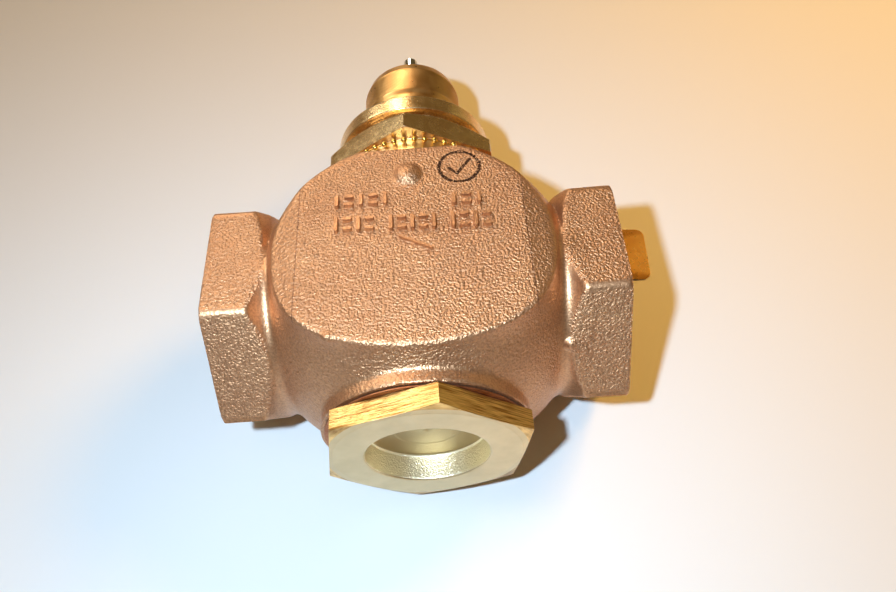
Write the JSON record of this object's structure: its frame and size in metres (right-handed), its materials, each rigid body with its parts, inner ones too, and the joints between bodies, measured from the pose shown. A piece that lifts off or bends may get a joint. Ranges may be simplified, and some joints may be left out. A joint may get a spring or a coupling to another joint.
{
  "type": "zone valve",
  "caption": "Threaded bronze globe valve with hexagonal pipe ends, hexagonal bottom plug, turned brass bonnet, knurled packing cap, sliding stem and a tag on a bead chain.",
  "frame": {"origin": "centre of the flat back pad that the valve lies on, straight below the crossing of the pipe axis and the stem axis", "axes": "+Y along the stem, from the bottom plug to the stem's tip; +X along the pipe, towards the outlet end; +Z out of the front pad, up from the surface"},
  "size_m": [0.1288, 0.1492, 0.0658],
  "materials": {
    "cast_bronze": "sand-cast bronze, rough, matte to satin",
    "plug_brass": "milled and faced brass, fine tool marks",
    "bonnet_brass": "turned brass, polished",
    "cap_brass": "knurled brass",
    "copper": "copper sheet",
    "bush_bronze": "turned bearing bronze",
    "stainless": "turned stainless steel",
    "stem_steel": "ground stainless steel",
    "packing_rubber": "moulded black elastomer",
    "packing_polymer": "turned white fluoropolymer",
    "chain_brass": "bright rolled brass",
    "tag_brass": "satin sheet brass"
  },
  "bodies": {
    "valve_body": {"body_casting": "cast_bronze", "seat_ring": "stainless", "bottom_plug": "plug_brass", "bottom_plug_gasket": "copper", "bonnet": "bonnet_brass", "bonnet_gasket": "copper", "packing_cap": "cap_brass", "stem_guide_bush": "bush_bronze", "packing_base_washer": "stainless", "packing_spring": "stainless", "spring_follower": "stainless", "packing_lower_adapter": "bonnet_brass", "packing_vee_ring_1": "packing_rubber", "packing_vee_ring_2": "packing_rubber", "packing_vee_ring_3": "packing_rubber", "packing_upper_adapter": "packing_polymer", "stem_wiper": "packing_rubber", "bead_chain": "chain_brass", "chain_clasp": "chain_brass"},
    "stem_assembly": {"stem": "stem_steel", "disc_holder": "bonnet_brass", "holder_pin": "stainless", "seat_disc": "packing_rubber", "throttle_plug": "bonnet_brass", "throttle_nut": "stainless"},
    "tag": {"identification_tag": "tag_brass"}
  },
  "joints": [
    {"name": "stem_travel", "type": "slide", "parent": "valve_body", "child": "stem_assembly", "axis": [0, -1, 0], "range_m": [0, 0.0127]},
    {"name": "tag_lift", "type": "hinge", "parent": "valve_body", "child": "tag", "pos_m": [0.029, 0.0387, 0.002], "axis": [-0.0523, -0.9986, 0], "range_deg": [0, 28]}
  ]
}
